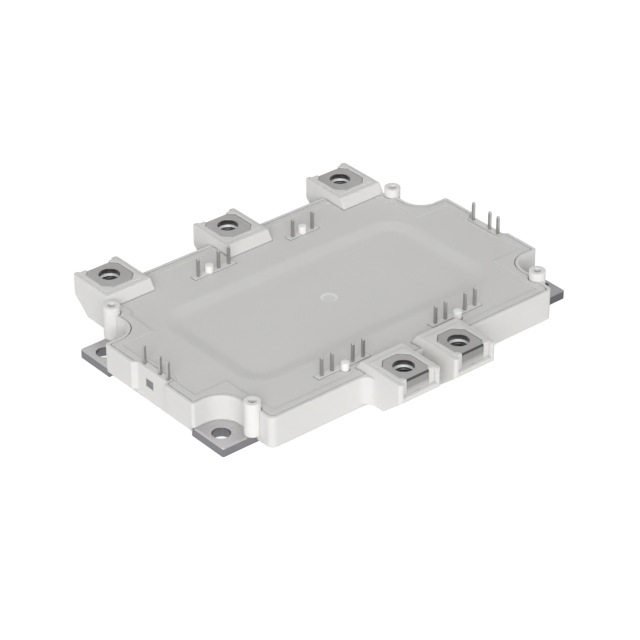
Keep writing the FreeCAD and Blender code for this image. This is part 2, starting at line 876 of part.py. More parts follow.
def add_rounded_rectangle(sketch, x, y, length, width, radius):
    """Four sides and four quarter circles, held by the corner centres and the radius."""
    half_length, half_width = length / 2 - radius, width / 2 - radius
    centres = [(x + half_length, y - half_width), (x + half_length, y + half_width),
               (x - half_length, y + half_width), (x - half_length, y - half_width)]
    first = sketch.GeometryCount
    for number, (cx, cy) in enumerate(centres):
        middle = FreeCAD.Vector(cx.value, cy.value, 0)
        start = (number - 1) * math.pi / 2
        circle = Part.Circle(middle, FreeCAD.Vector(0, 0, 1), radius.value)
        sketch.addGeometry(Part.ArcOfCircle(circle, start, start + math.pi / 2), False)
    for number in range(4):
        following = first + (number + 1) % 4
        start, end = sketch.getPoint(first + number, 2), sketch.getPoint(following, 1)
        line = sketch.addGeometry(Part.LineSegment(start, end), False)
        sketch.addConstraint(Sketcher.Constraint("Tangent", first + number, 2, line, 1))
        sketch.addConstraint(Sketcher.Constraint("Tangent", line, 2, following, 1))
        kind = "Vertical" if number % 2 == 0 else "Horizontal"
        sketch.addConstraint(Sketcher.Constraint(kind, line))
    for number in range(3):
        sketch.addConstraint(Sketcher.Constraint("Equal", first + number, first + number + 1))
    index = sketch.addConstraint(Sketcher.Constraint("Radius", first, radius.value))
    sketch.setExpression(f"Constraints[{index}]", radius.formula)
    hold_points(sketch, [(first, 3, *centres[0]), (first + 2, 3, *centres[2])])


def draw_lid_openings(sketch):
    """Openings for the pin islands, the posts, the standoffs and the terminal blocks."""
    gap = size["lid_gap"]
    reach = size["rim_width"] + 2
    for x, y, length, width in pin_islands()[:4]:
        add_rectangle(sketch, x, y, length + 2 * gap, width + 2 * gap)
    for x, y, length, width in pin_islands()[4:]:
        shift = reach / 2 if x.value > 0 else -reach / 2
        add_rectangle(sketch, x + shift, y, length + 2 * gap + reach, width + 2 * gap)
    for x, y in standoffs():
        add_circle(sketch, x, y, size["standoff_diameter"] + 2 * gap)
    for name in TERMINALS:
        inner = -size["block_run_in"] - size["ramp_run"] - gap
        outer = size["block_reach"]
        middle = outward(name, (inner + outer) / 2)
        add_rectangle(sketch, terminal_x(name), middle, block_width(name) + 2 * gap, outer - inner)


def draw_lid_post_holes(sketch):
    for x, y in posts():
        add_circle(sketch, x, y, size["post_diameter"] + 2 * size["lid_gap"])


# Terminal strips and nuts

def make_terminal(name):
    """A copper strip: foot on the circuit, leg through the frame, bend at the nose, flat pad over the nut."""
    body = new_body(f"{name}_terminal")
    thickness = size["strip_thickness"]
    top, leg_top = size["strip_top"], nut_bottom
    leg_bottom = leg_top - thickness
    outer = size["strip_reach"]
    row = size["terminal_row_y"]
    drop = size["foot_start_y"] - row
    toe = drop - size["foot_length"]
    profile = [
        (outer - thickness, top), (outer, top), (outer, leg_bottom), (drop, leg_bottom), (drop, track_top),
        (toe, track_top), (toe, track_top + thickness), (drop - thickness, track_top + thickness),
        (drop - thickness, leg_top), (outer - thickness, leg_top),
    ]
    across(body, "Pad", terminal_x(name), size["strip_width"], [(outward(name, a), z) for a, z in profile])
    pad_up(body, strip_bottom, top, lambda sketch: add_polygon(sketch, pad_outline(name, as_length(0))))
    round_bends(body, name, [(outer, top), (outer, leg_bottom)], size["bend_radius"])
    round_bends(body, name, [(drop, leg_bottom), (drop - thickness, leg_top)], thickness / 2)
    x, y, hole = terminal_x(name), outward(name, as_length(0)), size["terminal_hole_diameter"]
    room = size["screw_room_width"]
    cut_down(body, top, strip_bottom, lambda sketch: add_circle(sketch, x, y, hole))
    cut_down(body, leg_top, leg_bottom, lambda sketch: add_rectangle(sketch, x, y, room, room))
    if side_sign(name) < 0:
        notch_supply_leg(body, name, leg_top, leg_bottom)


def notch_supply_leg(body, name, leg_top, leg_bottom):
    """A notch in the outer side of a supply strip's leg, where the nearest signal pin passes."""
    side = 1 if terminal_x(name).value > 0 else -1
    depth = size["leg_notch_depth"]
    x = terminal_x(name) + side * (size["strip_width"] - depth) / 2
    length = size["leg_notch_length"]
    cut_down(body, leg_top, leg_bottom,
             lambda sketch: add_rectangle(sketch, x, -size["front_row_y"], depth, length))


def round_bends(body, name, places, radius):
    """Rounds the edges that run along X at the given places of the strip's profile."""
    doc.recompute()
    base = body.Tip
    wanted = [(outward(name, along).value, height.value) for along, height in places]
    names = []
    for number, edge in enumerate(base.Shape.Edges, start=1):
        box = edge.BoundBox
        if box.YLength > 1e-6 or box.ZLength > 1e-6:
            continue
        if any(math.hypot(box.YMin - y, box.ZMin - z) < 1e-4 for y, z in wanted):
            names.append(f"Edge{number}")
    soften(body, "Fillet", base, names, radius)


def make_nut(name):
    """A hexagon nut on the strip's leg, bored to the minor diameter of its thread."""
    body = new_body(f"{name}_nut")
    x, y = terminal_x(name), outward(name, as_length(0))
    flats, bore = size["nut_flats"], size["nut_bore_diameter"]
    top = nut_bottom + size["nut_height"]
    pad_up(body, nut_bottom, top, lambda sketch: add_polygon(sketch, hexagon(x, y, flats)))
    cut_down(body, top, nut_bottom, lambda sketch: add_circle(sketch, x, y, bore))


# Signal pins

def make_pin(name, x, y, way):
    """A square pin with a tapered tip; its foot turns inwards and lies on the frame's ledge."""
    way_x, way_y = way
    body = new_body(name)
    half = size["pin_size"] / 2
    taper = size["pin_taper"]
    top, bottom = size["pin_top"], size["ledge_height"]
    foot_top = bottom + size["pin_foot_thickness"]
    inward = way_x + way_y
    here = x if way_x else y
    toe = -inward * (room_edge(way_x) - size["ledge_width"] * 0.8)
    heel, front = here - inward * half, here + inward * half
    tip_rise = 2 * taper
    profile = [
        (heel, bottom), (toe, bottom), (toe, foot_top), (front, foot_top), (front, top - tip_rise),
        (front - inward * taper, top), (heel + inward * taper, top), (heel, top - tip_rise),
    ]
    if way_x:
        sketch = new_sketch(body, "XZ_Plane", -y)
        add_polygon(sketch, profile)
        extrude(body, "Pad", sketch, size["pin_size"], both_ways=True)
    else:
        across(body, "Pad", x, size["pin_size"], profile)


# Plugs of the end windows

def make_end_plug(side, sign):
    body = new_body(f"end_plug_{side}")
    depth = size["window_depth"] - size["plug_inset"]
    middle = sign * (end_wall - size["plug_inset"] - depth / 2)
    across(body, "Pad", middle, depth, window_corners())


# Circuit

PHASES = {"u": -1, "v": 0, "w": 1}


def phase_x(phase):
    return PHASES[phase] * size["substrate_pitch"]


def make_substrate(phase):
    body = new_body(f"substrate_{phase}")
    bottom = size["plate_thickness"]
    top = bottom + size["substrate_thickness"]
    x, y = phase_x(phase), as_length(0)
    length, width = size["substrate_length"], size["substrate_width"]
    pad_up(body, bottom, top, lambda sketch: add_rectangle(sketch, x, y, length, width))


def track_islands(phase):
    """The output island across the substrate, and the two supply islands side by side."""
    x = phase_x(phase)
    margin, gap, split = size["track_margin"], size["track_gap"], size["track_split_y"]
    length = size["substrate_length"] - 2 * margin
    edge = size["substrate_width"] / 2 - margin
    output = (x, (split + gap / 2 + edge) / 2, length, edge - split - gap / 2)
    half = (length - gap) / 2
    shift = (half + gap) / 2
    y, width = (split - gap / 2 - edge) / 2, edge + split - gap / 2
    return [output, (x - shift, y, half, width), (x + shift, y, half, width)]


def make_tracks(phase):
    body = new_body(f"tracks_{phase}")
    bottom = size["plate_thickness"] + size["substrate_thickness"]
    for x, y, length, width in track_islands(phase):
        pad_up(body, bottom, track_top, lambda sketch: add_rectangle(sketch, x, y, length, width))


def chips(phase):
    """Name, X, Y and edge length of the four chips of one phase."""
    x, column = phase_x(phase), size["chip_column_x"]
    return [
        (f"high_transistor_{phase}", x - column, size["high_transistor_y"], size["transistor_size"]),
        (f"high_diode_{phase}", x - column, size["high_diode_y"], size["diode_size"]),
        (f"low_transistor_{phase}", x + column, size["low_transistor_y"], size["transistor_size"]),
        (f"low_diode_{phase}", x + column, size["low_diode_y"], size["diode_size"]),
    ]


def make_chip(name, x, y, edge):
    body = new_body(name)
    pad_up(body, track_top, chip_top, lambda sketch: add_rectangle(sketch, x, y, edge, edge))


def ribbon_profile(start, start_z, end, end_z):
    """A flat-topped arch between two places on the circuit, as Y and Z."""
    thickness, rise = size["ribbon_thickness"], size["ribbon_rise"]
    crown = chip_top + rise
    way = 1 if end.value > start.value else -1
    foot = way * thickness * 2
    lean = way * rise / 2
    return [
        (start, start_z), (start + lean, crown), (end - lean, crown), (end, end_z), (end - foot, end_z),
        (end - lean - foot / 2, crown - thickness), (start + lean + foot / 2, crown - thickness),
        (start + foot, start_z),
    ]


def make_bonds(phase):
    """Ribbons from each transistor to its diode, and from each chip pair to the island beside it."""
    body = new_body(f"bonds_{phase}")
    high_transistor, high_diode, low_transistor, low_diode = chips(phase)
    quarter = size["transistor_size"] / 4
    split, gap = size["track_split_y"], size["track_gap"]
    runs = [
        (high_diode, high_diode[2], high_transistor[2] - quarter, chip_top),
        (high_transistor, high_transistor[2] + quarter / 2, split + gap * 1.8, track_top),
        (low_transistor, low_transistor[2] - quarter, split - gap * 1.8, track_top),
        (low_diode, low_diode[2], low_transistor[2] + quarter / 2, chip_top),
    ]
    for (_, x, _, _), start, end, end_z in runs:
        for step in (-0.5, 0.5):
            profile = ribbon_profile(start, chip_top, end, end_z)
            across(body, "Pad", x + step * size["ribbon_step"], size["ribbon_width"], profile)


def make_thermistor():
    body = new_body("thermistor")
    x = size["chip_column_x"]
    y = size["high_diode_y"]

    def draw(sketch):
        add_rectangle(sketch, x, y, size["sensor_length"], size["sensor_width"])

    pad_up(body, track_top, track_top + size["sensor_height"], draw)


def make_gel_filling():
    """The gel covers the circuit up to the ledge, apart from what stands in it."""
    room = new_body("gel_room")
    ledge = size["ledge_width"]
    pad_up(room, size["plate_thickness"], size["gel_top"],
           lambda sketch: add_polygon(sketch, room_outline(ledge)))
    inside = [name for name in SUB_PARTS if name.startswith(CIRCUIT_NAMES) or name.endswith("_terminal")]
    tools = doc.addObject("Part::MultiFuse", "gel_displaced")
    tools.Shapes = [doc.getObject(name) for name in inside]
    gel = doc.addObject("Part::Cut", "gel_filling")
    gel.Base = room
    gel.Tool = tools
    gel.Label = "gel_filling"


CIRCUIT_NAMES = ("substrate", "tracks", "high_", "low_", "bonds", "thermistor")
SUB_PARTS = []


def build():
    make_base_plate()
    make_housing_frame()
    make_lid()
    SUB_PARTS.extend(["base_plate", "housing_frame", "lid"])
    for name in TERMINALS:
        make_terminal(name)
        SUB_PARTS.append(f"{name}_terminal")
    for name, x, y, way in pin_places():
        make_pin(name, x, y, way)
        SUB_PARTS.append(name)
    for side, sign in (("left", -1), ("right", 1)):
        make_end_plug(side, sign)
        SUB_PARTS.append(f"end_plug_{side}")
    for phase in PHASES:
        make_substrate(phase)
        make_tracks(phase)
        make_bonds(phase)
        SUB_PARTS.extend([f"substrate_{phase}", f"tracks_{phase}", f"bonds_{phase}"])
        for chip in chips(phase):
            make_chip(*chip)
            SUB_PARTS.append(chip[0])
    make_thermistor()
    SUB_PARTS.append("thermistor")
    make_gel_filling()
    for name in TERMINALS:
        make_nut(name)
        SUB_PARTS.append(f"{name}_nut")
    SUB_PARTS.append("gel_filling")


def check_and_export():
    doc.recompute()
    for item in doc.Objects:
        if "Invalid" in item.State or "Error" in item.State:
            raise ValueError(f"{item.Name} failed: {item.State}")
    os.makedirs("parts", exist_ok=True)
    for name in SUB_PARTS:
        shape = doc.getObject(name).Shape
        if shape.isNull() or not shape.isValid():
            raise ValueError(f"{name} has no valid shape")
        shape.exportStep(f"parts/{name}.step")


build()
check_and_export()
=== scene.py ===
import math

import bpy
from mathutils import Matrix, Vector


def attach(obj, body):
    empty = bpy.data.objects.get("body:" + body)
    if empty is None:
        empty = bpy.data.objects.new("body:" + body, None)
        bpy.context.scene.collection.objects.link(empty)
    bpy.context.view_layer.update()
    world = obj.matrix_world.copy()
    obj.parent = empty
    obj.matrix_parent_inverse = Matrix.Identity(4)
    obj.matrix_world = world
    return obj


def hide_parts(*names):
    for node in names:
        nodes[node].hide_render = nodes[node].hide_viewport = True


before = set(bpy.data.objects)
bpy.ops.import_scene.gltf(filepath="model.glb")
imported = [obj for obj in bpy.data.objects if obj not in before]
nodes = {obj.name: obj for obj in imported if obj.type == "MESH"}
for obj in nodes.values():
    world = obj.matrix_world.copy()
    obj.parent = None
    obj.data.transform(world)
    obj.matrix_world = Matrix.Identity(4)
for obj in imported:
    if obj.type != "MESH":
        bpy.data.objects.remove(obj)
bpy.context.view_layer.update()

scene = bpy.context.scene


# Table top, light and camera
# The module lies on a plain pale table top, clear from below, under one large soft lamp and an even pale sky.  The
# table and the sky show as white to the camera and in the metal.

def feed(tree, socket, value):
    """Links an input to the socket of another node, or sets it to a constant."""
    if isinstance(value, bpy.types.NodeSocket):
        tree.links.new(value, socket)
    else:
        socket.default_value = value


def add_node(tree, kind, values=None, **settings):
    """Adds a node, makes its settings and then feeds the inputs that are named."""
    node = tree.nodes.new(kind)
    for name, setting in settings.items():
        setattr(node, name, setting)
    for name, value in (values or {}).items():
        feed(tree, node.inputs[name], value)
    return node


def calculate(tree, operation, *values):
    """Arithmetic on numbers and sockets."""
    return add_node(tree, "ShaderNodeMath", dict(enumerate(values)), operation=operation).outputs[0]


def ramp(tree, value, start=0, end=1, first=0, last=1):
    """Goes from first to last while the value goes from start to end."""
    return add_node(tree, "ShaderNodeMapRange", {"Value": value, "From Min": start, "From Max": end,
                                                 "To Min": first, "To Max": last}).outputs["Result"]


def mix_shaders(tree, share, first, second):
    """The first shader, with a share of the second in it."""
    return add_node(tree, "ShaderNodeMixShader", {"Fac": share, 1: first, 2: second}).outputs[0]


def seen_directly(tree):
    """1 for what the camera or polished metal sees, 0 for the light that surfaces receive."""
    path = tree.nodes.new("ShaderNodeLightPath").outputs
    return calculate(tree, "MAXIMUM", path["Is Camera Ray"], path["Is Glossy Ray"])


def new_material(name):
    material = bpy.data.materials.new(name)
    material.use_nodes = True
    material.node_tree.nodes.clear()
    return material, material.node_tree


def make_table_top(half_width, level):
    """One square face just under the base plate; seen directly it glows, so that only the shadow shows on it."""
    material, tree = new_material("pale_table_top")
    matt = add_node(tree, "ShaderNodeBsdfDiffuse", {"Color": (0.86, 0.86, 0.86, 1)})
    shaded = add_node(tree, "ShaderNodeBsdfDiffuse", {"Color": (0.5, 0.5, 0.5, 1)})
    glow = add_node(tree, "ShaderNodeEmission", {"Color": (1, 1, 1, 1), "Strength": 0.78})
    seen = add_node(tree, "ShaderNodeAddShader", {0: shaded.outputs["BSDF"], 1: glow.outputs["Emission"]})
    upper = mix_shaders(tree, seen_directly(tree), matt.outputs["BSDF"], seen.outputs[0])
    side = tree.nodes.new("ShaderNodeNewGeometry")
    clear = tree.nodes.new("ShaderNodeBsdfTransparent")
    one_sided = mix_shaders(tree, side.outputs["Backfacing"], upper, clear.outputs["BSDF"])
    add_node(tree, "ShaderNodeOutputMaterial", {"Surface": one_sided})

    mesh = bpy.data.meshes.new("table_top")
    corners = [(x * half_width, y * half_width, level) for x, y in ((-1, -1), (1, -1), (1, 1), (-1, 1))]
    mesh.from_pydata(corners, [], [(0, 1, 2, 3)])
    mesh.materials.append(material)
    table_top = bpy.data.objects.new("table_top", mesh)
    scene.collection.objects.link(table_top)


def make_sky(lighting_strength, seen_strength):
    scene.world = bpy.data.worlds.new("even_sky")
    scene.world.use_nodes = True
    tree = scene.world.node_tree
    tree.nodes.clear()
    strength = ramp(tree, seen_directly(tree), first=lighting_strength, last=seen_strength)
    background = add_node(tree, "ShaderNodeBackground", {"Color": (1, 1, 1, 1), "Strength": strength})
    add_node(tree, "ShaderNodeOutputWorld", {"Surface": background.outputs[0]})


def direction(azimuth, elevation):
    """From the module towards a place round it; azimuth 0 is in front of the supply side."""
    a, e = math.radians(azimuth), math.radians(elevation)
    return Vector((math.sin(a) * math.cos(e), -math.cos(a) * math.cos(e), math.sin(e)))


def make_lamp(name, azimuth, elevation, distance, width, height, power):
    lamp = bpy.data.lights.new(name, "AREA")
    lamp.shape = "RECTANGLE"
    lamp.size, lamp.size_y = width, height
    lamp.energy = power
    holder = bpy.data.objects.new(name, lamp)
    away = direction(azimuth, elevation)
    holder.location = away * distance
    holder.rotation_euler = away.to_track_quat("Z", "Y").to_euler()
    scene.collection.objects.link(holder)


def make_camera(azimuth, elevation, distance, aim, focal_pixels, photo_width=640, sensor_width=36):
    """The camera looks at the aim; its focal length is given in pixels of the photograph."""
    camera = bpy.data.objects.new("camera", bpy.data.cameras.new("camera"))
    camera.data.sensor_width = sensor_width
    camera.data.lens = sensor_width * focal_pixels / photo_width
    camera.data.clip_start, camera.data.clip_end = 0.05, 50
    turn = math.radians(azimuth)
    back = direction(azimuth, elevation)
    right = Vector((math.cos(turn), math.sin(turn), 0))
    place = Matrix((right, back.cross(right), back)).transposed().to_4x4()
    place.translation = aim + back * distance
    camera.matrix_world = place
    scene.collection.objects.link(camera)
    scene.camera = camera


make_table_top(half_width=8, level=-0.00003)
make_sky(lighting_strength=0.48, seen_strength=1)
make_lamp("soft_key", azimuth=-42, elevation=24, distance=3.2, width=2.4, height=1.8, power=67.2)
make_camera(azimuth=-39.94, elevation=32.13, distance=0.8645, aim=Vector((0.00109, 0.00423, 0)), focal_pixels=2926.5)
scene.view_settings.view_transform = "Standard"


# Base plate
# A stamped and milled copper plate with nickel plating.  Its top is satin with fine milling lines; its upright cut
# edges take painted shade, and painted shade darkens the plate towards the far right, where the frame's shadow falls.
# It is screwed to a heatsink through the four holes in its ears.

def new_group(name, tree_kind, inputs, outputs):
    """A node group with named outputs and with named inputs, which have usual values."""
    group = bpy.data.node_groups.new(name, tree_kind)
    for kind, title, usual in inputs:
        socket = group.interface.new_socket(title, in_out="INPUT", socket_type=f"NodeSocket{kind}")
        if usual is not None:
            socket.default_value = usual
    for kind, title in outputs:
        group.interface.new_socket(title, in_out="OUTPUT", socket_type=f"NodeSocket{kind}")
    return group, group.nodes.new("NodeGroupInput").outputs


def split(tree, vector):
    """The X, Y and Z of a vector."""
    return add_node(tree, "ShaderNodeSeparateXYZ", {"Vector": vector}).outputs


def noise(tree, place, scale, detail, roughness=0.5):
    """A cloudy value round 0.5."""
    return add_node(tree, "ShaderNodeTexNoise", {"Vector": place, "Scale": scale, "Detail": detail,
                                                 "Roughness": roughness}).outputs["Fac"]


def mix_colours(tree, share, first, second, blend_type="MIX"):
    return add_node(tree, "ShaderNodeMix", {"Factor": share, "A": first, "B": second}, data_type="RGBA",
                    blend_type=blend_type).outputs["Result"]


def brighten(tree, colour, strength):
    """A colour times a number."""
    return add_node(tree, "ShaderNodeVectorMath", {0: colour, "Scale": strength}, operation="SCALE").outputs["Vector"]


def bumped_normal(tree, height, strength, distance, edge_radius):
    """Normals that are rounded off at the edges and bumped by a height."""
    edge = add_node(tree, "ShaderNodeBevel", {"Radius": edge_radius}, samples=6)
    return add_node(tree, "ShaderNodeBump", {"Height": height, "Strength": strength, "Distance": distance,
                                             "Normal": edge.outputs["Normal"]}).outputs["Normal"]


def make_brushing_group():
    """Fine lines and soft cloudy patches of plated metal: a colour, a roughness and a bumped normal."""
    group, given = new_group(
        "brushed_plating", "ShaderNodeTree",
        [("Color", "Bright", (0.7, 0.7, 0.7, 1)), ("Color", "Dull", (0.5, 0.5, 0.5, 1)),
         ("Vector", "Line stretch", (1, 1, 1)), ("Float", "Line scale", 110.0), ("Float", "Patch scale", 60.0),
         ("Float", "Low roughness", 0.25), ("Float", "High roughness", 0.45), ("Float", "Line depth", 0.1),
         ("Float", "Edge radius", 0.0002)],
        [("Color", "Color"), ("Float", "Roughness"), ("Vector", "Normal")])
    place = group.nodes.new("ShaderNodeTexCoord").outputs["Object"]
    stretched = add_node(group, "ShaderNodeVectorMath", {0: place, 1: given["Line stretch"]}, operation="MULTIPLY")
    lines = noise(group, stretched.outputs["Vector"], given["Line scale"], detail=3)
    patches = noise(group, place, given["Patch scale"], detail=4)
    both = calculate(group, "MULTIPLY_ADD", lines, 0.45, calculate(group, "MULTIPLY", patches, 0.55))
    dulled = ramp(group, both, start=0.35, end=0.65)
    add_node(group, "NodeGroupOutput", {
        "Color": mix_colours(group, dulled, given["Bright"], given["Dull"]),
        "Roughness": ramp(group, dulled, first=given["Low roughness"], last=given["High roughness"]),
        "Normal": bumped_normal(group, lines, given["Line depth"], 0.00004, given["Edge radius"])})
    return group


brushing = make_brushing_group()


def plated_metal(name, bright, dull, bend_painted_tone, upright, stretch=(1, 40, 1), roughness=(0.25, 0.45), far_right_shade=1.0,
                 foot=None):
    """Plated metal with painted light and shade: level faces, bends and upright faces each take their own tone.

    Painted shade darkens the plating towards the far right of the module to the given share of its brightness.
    A foot is two heights, between which the metal turns matt, and pale downwards by painted light, with its lowest
    metallic share and its tone.
    """
    material, tree = new_material(name)
    plating = add_node(tree, "ShaderNodeGroup", {
        "Bright": (*bright, 1), "Dull": (*dull, 1), "Line stretch": stretch, "Low roughness": roughness[0],
        "High roughness": roughness[1]}, node_tree=brushing).outputs

    # Painted light and shade by facing: level faces keep their colour, bends and upright faces take painted tones.
    facing = split(tree, tree.nodes.new("ShaderNodeNewGeometry").outputs["Normal"])
    painted_facing_tones = add_node(tree, "ShaderNodeValToRGB", {"Fac": calculate(tree, "ABSOLUTE", facing["Z"])})
    upright_end, level_end = painted_facing_tones.color_ramp.elements
    upright_end.position, upright_end.color = 0.12, (*upright, 1)
    level_end.position, level_end.color = 0.96, (1, 1, 1, 1)
    for bend in (0.3, 0.86):
        painted_facing_tones.color_ramp.elements.new(bend).color = (*bend_painted_tone, 1)
    colour = mix_colours(tree, 1, painted_facing_tones.outputs["Color"], plating["Color"], "MULTIPLY")

    # Painted shade: the metal is painted darker towards the far right of the module.
    spot = split(tree, tree.nodes.new("ShaderNodeTexCoord").outputs["Object"])
    towards_far_right = calculate(tree, "MULTIPLY_ADD", spot["Y"], 0.6, spot["X"])
    strength = ramp(tree, towards_far_right, start=-0.076, end=0.05, first=1, last=far_right_shade)
    metallic = 1
    # Painted light: below the foot the metal is painted paler.
    if foot:
        low, high, low_metallic, low_painted_light = foot
        metallic = ramp(tree, spot["Z"], low, high, low_metallic, 1)
        strength = calculate(tree, "MULTIPLY", strength, ramp(tree, spot["Z"], low, high, low_painted_light, 1))
    shader = add_node(tree, "ShaderNodeBsdfPrincipled", {
        "Base Color": brighten(tree, colour, strength), "Metallic": metallic, "Roughness": plating["Roughness"],
        "Normal": plating["Normal"]})
    add_node(tree, "ShaderNodeOutputMaterial", {"Surface": shader.outputs["BSDF"]})
    return material


def give_material(name, material):
    """Dresses a CAD node."""
    for slot in nodes[name].material_slots:
        slot.material = material


give_material("base_plate", plated_metal("nickel_plated_copper", bright=(0.61, 0.60, 0.61), dull=(0.53, 0.52, 0.53),
                                         bend_painted_tone=(0.95, 0.95, 0.95), upright=(0.37, 0.37, 0.38), far_right_shade=0.55))


# Moulded frame and lid
# The frame is injection moulded in one piece from an off-white glass-filled polyester: walls, terminal blocks,
# standoffs and posts.  The lid is a second moulding of the same compound, pressed into the frame's rebate.

def make_moulding_group():
    """The cloudy tone and fine spark-eroded grain of moulded plastic, with softened edges and painted shade in
    crevices.
    """
    group, given = new_group(
        "moulded_grain", "ShaderNodeTree",
        [("Color", "Pale", (0.75, 0.75, 0.74, 1)), ("Color", "Deep", (0.7, 0.7, 0.69, 1)),
         ("Float", "Cloud scale", 30.0), ("Float", "Grain scale", 3300.0), ("Float", "Grain depth", 0.7),
         ("Float", "Low roughness", 0.4), ("Float", "High roughness", 0.55), ("Float", "Edge radius", 0.0003),
         ("Float", "Crevice reach", 0.0009), ("Float", "Crevice painted shade", 0.3)],
        [("Color", "Color"), ("Float", "Roughness"), ("Vector", "Normal")])
    place = group.nodes.new("ShaderNodeTexCoord").outputs["Object"]
    clouds = ramp(group, noise(group, place, given["Cloud scale"], detail=5, roughness=0.6), start=0.3, end=0.7)
    # Painted shade: the colour darkens where ambient occlusion finds crevices.
    openness = add_node(group, "ShaderNodeAmbientOcclusion", {"Distance": given["Crevice reach"]}, samples=8)
    shade = ramp(group, openness.outputs["AO"], start=0.25, end=0.85, first=given["Crevice painted shade"])
    grain = noise(group, place, given["Grain scale"], detail=2)
    add_node(group, "NodeGroupOutput", {
        "Color": brighten(group, mix_colours(group, clouds, given["Pale"], given["Deep"]), shade),
        "Roughness": ramp(group, grain, first=given["Low roughness"], last=given["High roughness"]),
        "Normal": bumped_normal(group, grain, given["Grain depth"], 0.00006, given["Edge radius"])})
    return group


moulding = make_moulding_group()


def moulded_plastic(name, pale, deep, roughness=(0.42, 0.6), crevice_shade=0.3, marks=(), soft_area=None, scatter=0.0):
    """Moulding compound, with the given painted shade in its crevices.

    Each mark is a place in plan, its radius, a height that it stays under and a tone, and no mark reaches a face that
    looks down.  A soft area is a half length and a half width round the middle, within which the edges are rounded by
    the radius that it gives.  Scatter is the share of the light that passes a little way through the compound.
    """
    material, tree = new_material(name)
    grain = add_node(tree, "ShaderNodeGroup", {
        "Pale": (*pale, 1), "Deep": (*deep, 1), "Low roughness": roughness[0], "High roughness": roughness[1],
        "Crevice painted shade": crevice_shade}, node_tree=moulding)
    spot = split(tree, tree.nodes.new("ShaderNodeTexCoord").outputs["Object"])
    if soft_area:
        half_length, half_width, soft_radius = soft_area
        in_length = calculate(tree, "LESS_THAN", calculate(tree, "ABSOLUTE", spot["X"]), half_length)
        in_width = calculate(tree, "LESS_THAN", calculate(tree, "ABSOLUTE", spot["Y"]), half_width)
        within = calculate(tree, "MULTIPLY", in_length, in_width)
        usual = grain.inputs["Edge radius"].default_value
        radius = calculate(tree, "MULTIPLY_ADD", within, soft_radius - usual, usual)
        feed(tree, grain.inputs["Edge radius"], radius)

    colour = grain.outputs["Color"]
    facing = split(tree, tree.nodes.new("ShaderNodeNewGeometry").outputs["Normal"])
    not_below = calculate(tree, "GREATER_THAN", facing["Z"], -0.1)
    # Marks paint light or shade: each multiplies the colour by its tone on a round patch.
    for x, y, radius, height, tone in marks:
        away_x = calculate(tree, "SUBTRACT", spot["X"], x)
        away_y = calculate(tree, "SUBTRACT", spot["Y"], y)
        squares = calculate(tree, "MULTIPLY_ADD", away_y, away_y, calculate(tree, "MULTIPLY", away_x, away_x))
        near = calculate(tree, "LESS_THAN", calculate(tree, "SQRT", squares), radius)
        low_enough = calculate(tree, "LESS_THAN", spot["Z"], height)
        inside = calculate(tree, "MULTIPLY", calculate(tree, "MULTIPLY", not_below, near), low_enough)
        colour = brighten(tree, colour, calculate(tree, "MULTIPLY_ADD", inside, tone - 1, 1))
    shader = add_node(tree, "ShaderNodeBsdfPrincipled", {
        "Base Color": colour, "Roughness": grain.outputs["Roughness"], "Normal": grain.outputs["Normal"],
        "Specular IOR Level": 0.4, "Subsurface Weight": scatter, "Subsurface Radius": (1, 1, 0.9),
        "Subsurface Scale": 0.0009})
    add_node(tree, "ShaderNodeOutputMaterial", {"Surface": shader.outputs["BSDF"]})
    return material


terminal_places = {"phase_u": (-0.0444, 0.0463), "phase_v": (0, 0.0463), "phase_w": (0.0444, 0.0463),
                   "dc_plus": (-0.01075, -0.0463), "dc_minus": (0.00995, -0.0463)}
# Painted shade: the screw rooms under the nuts are painted nearly black.
room_radius, room_top, room_painted_shade = 0.0062, 0.0119, 0.04
# Painted light: the posts and standoffs are painted paler.
post_radius, post_painted_light = 0.0014, 1.2
standoff_radius, standoff_painted_light = 0.0027, 1.1
any_height = 1
room_painted_shade_marks = [(x, y, room_radius, room_top, room_painted_shade) for x, y in terminal_places.values()]
post_painted_light_marks = [(side * x, y, post_radius, any_height, post_painted_light)
              for x, y in ((0.0213, -0.0335), (0.0179, 0.0326)) for side in (-1, 1)]
standoff_painted_light_marks = [(x, y, standoff_radius, any_height, standoff_painted_light)
                  for x in (-0.0539, 0.0539) for y in (-0.03245, 0.03245)]
# The gate mark in the lid's middle is a painted highlight overlapped by a smaller painted shade.
gate_mark_painted_highlight_and_shade = [(0.001, 0, 0.0026, any_height, 1.2), (0.00055, -0.00053, 0.0019, any_height, 0.88)]
give_material("housing_frame", moulded_plastic("frame_moulding_compound", pale=(0.78, 0.775, 0.76),
                                               deep=(0.75, 0.745, 0.73), crevice_shade=0.75,
                                               marks=room_painted_shade_marks + post_painted_light_marks + standoff_painted_light_marks, scatter=0.55))
give_material("lid", moulded_plastic("lid_moulding_compound", pale=(0.73, 0.725, 0.71), deep=(0.705, 0.70, 0.685),
                                     crevice_shade=0.9, marks=gate_mark_painted_highlight_and_shade, soft_area=(0.05, 0.029, 0.0022), scatter=0.6))


# Terminal strips
# Stamped copper, tin plated: a flat pad with cut corners, bent down over the nose of its block.  The strip is
# inserted in the mould and runs inside to the circuit.

# Painted light and shade: the bends are painted dark, the lowest part of each strip pale, and the far right darker.
strip_metal = plated_metal("tin_plated_copper", bright=(0.43, 0.425, 0.42), dull=(0.35, 0.345, 0.34),
                           bend_painted_tone=(0.25, 0.25, 0.25), upright=(0.8, 0.8, 0.8), stretch=(40, 1, 1),
                           roughness=(0.28, 0.42), far_right_shade=0.9, foot=(0.0091, 0.0114, 0.3, 2.5))
for name in terminal_places:
    give_material(f"{name}_terminal", strip_metal)


# Captive nuts
# Zinc-plated steel hexagon nuts with an M6 thread, which lie loose in hexagon pockets under the pads.  Their corners
# are turned off at 30 degrees and the thread's mouths are countersunk.

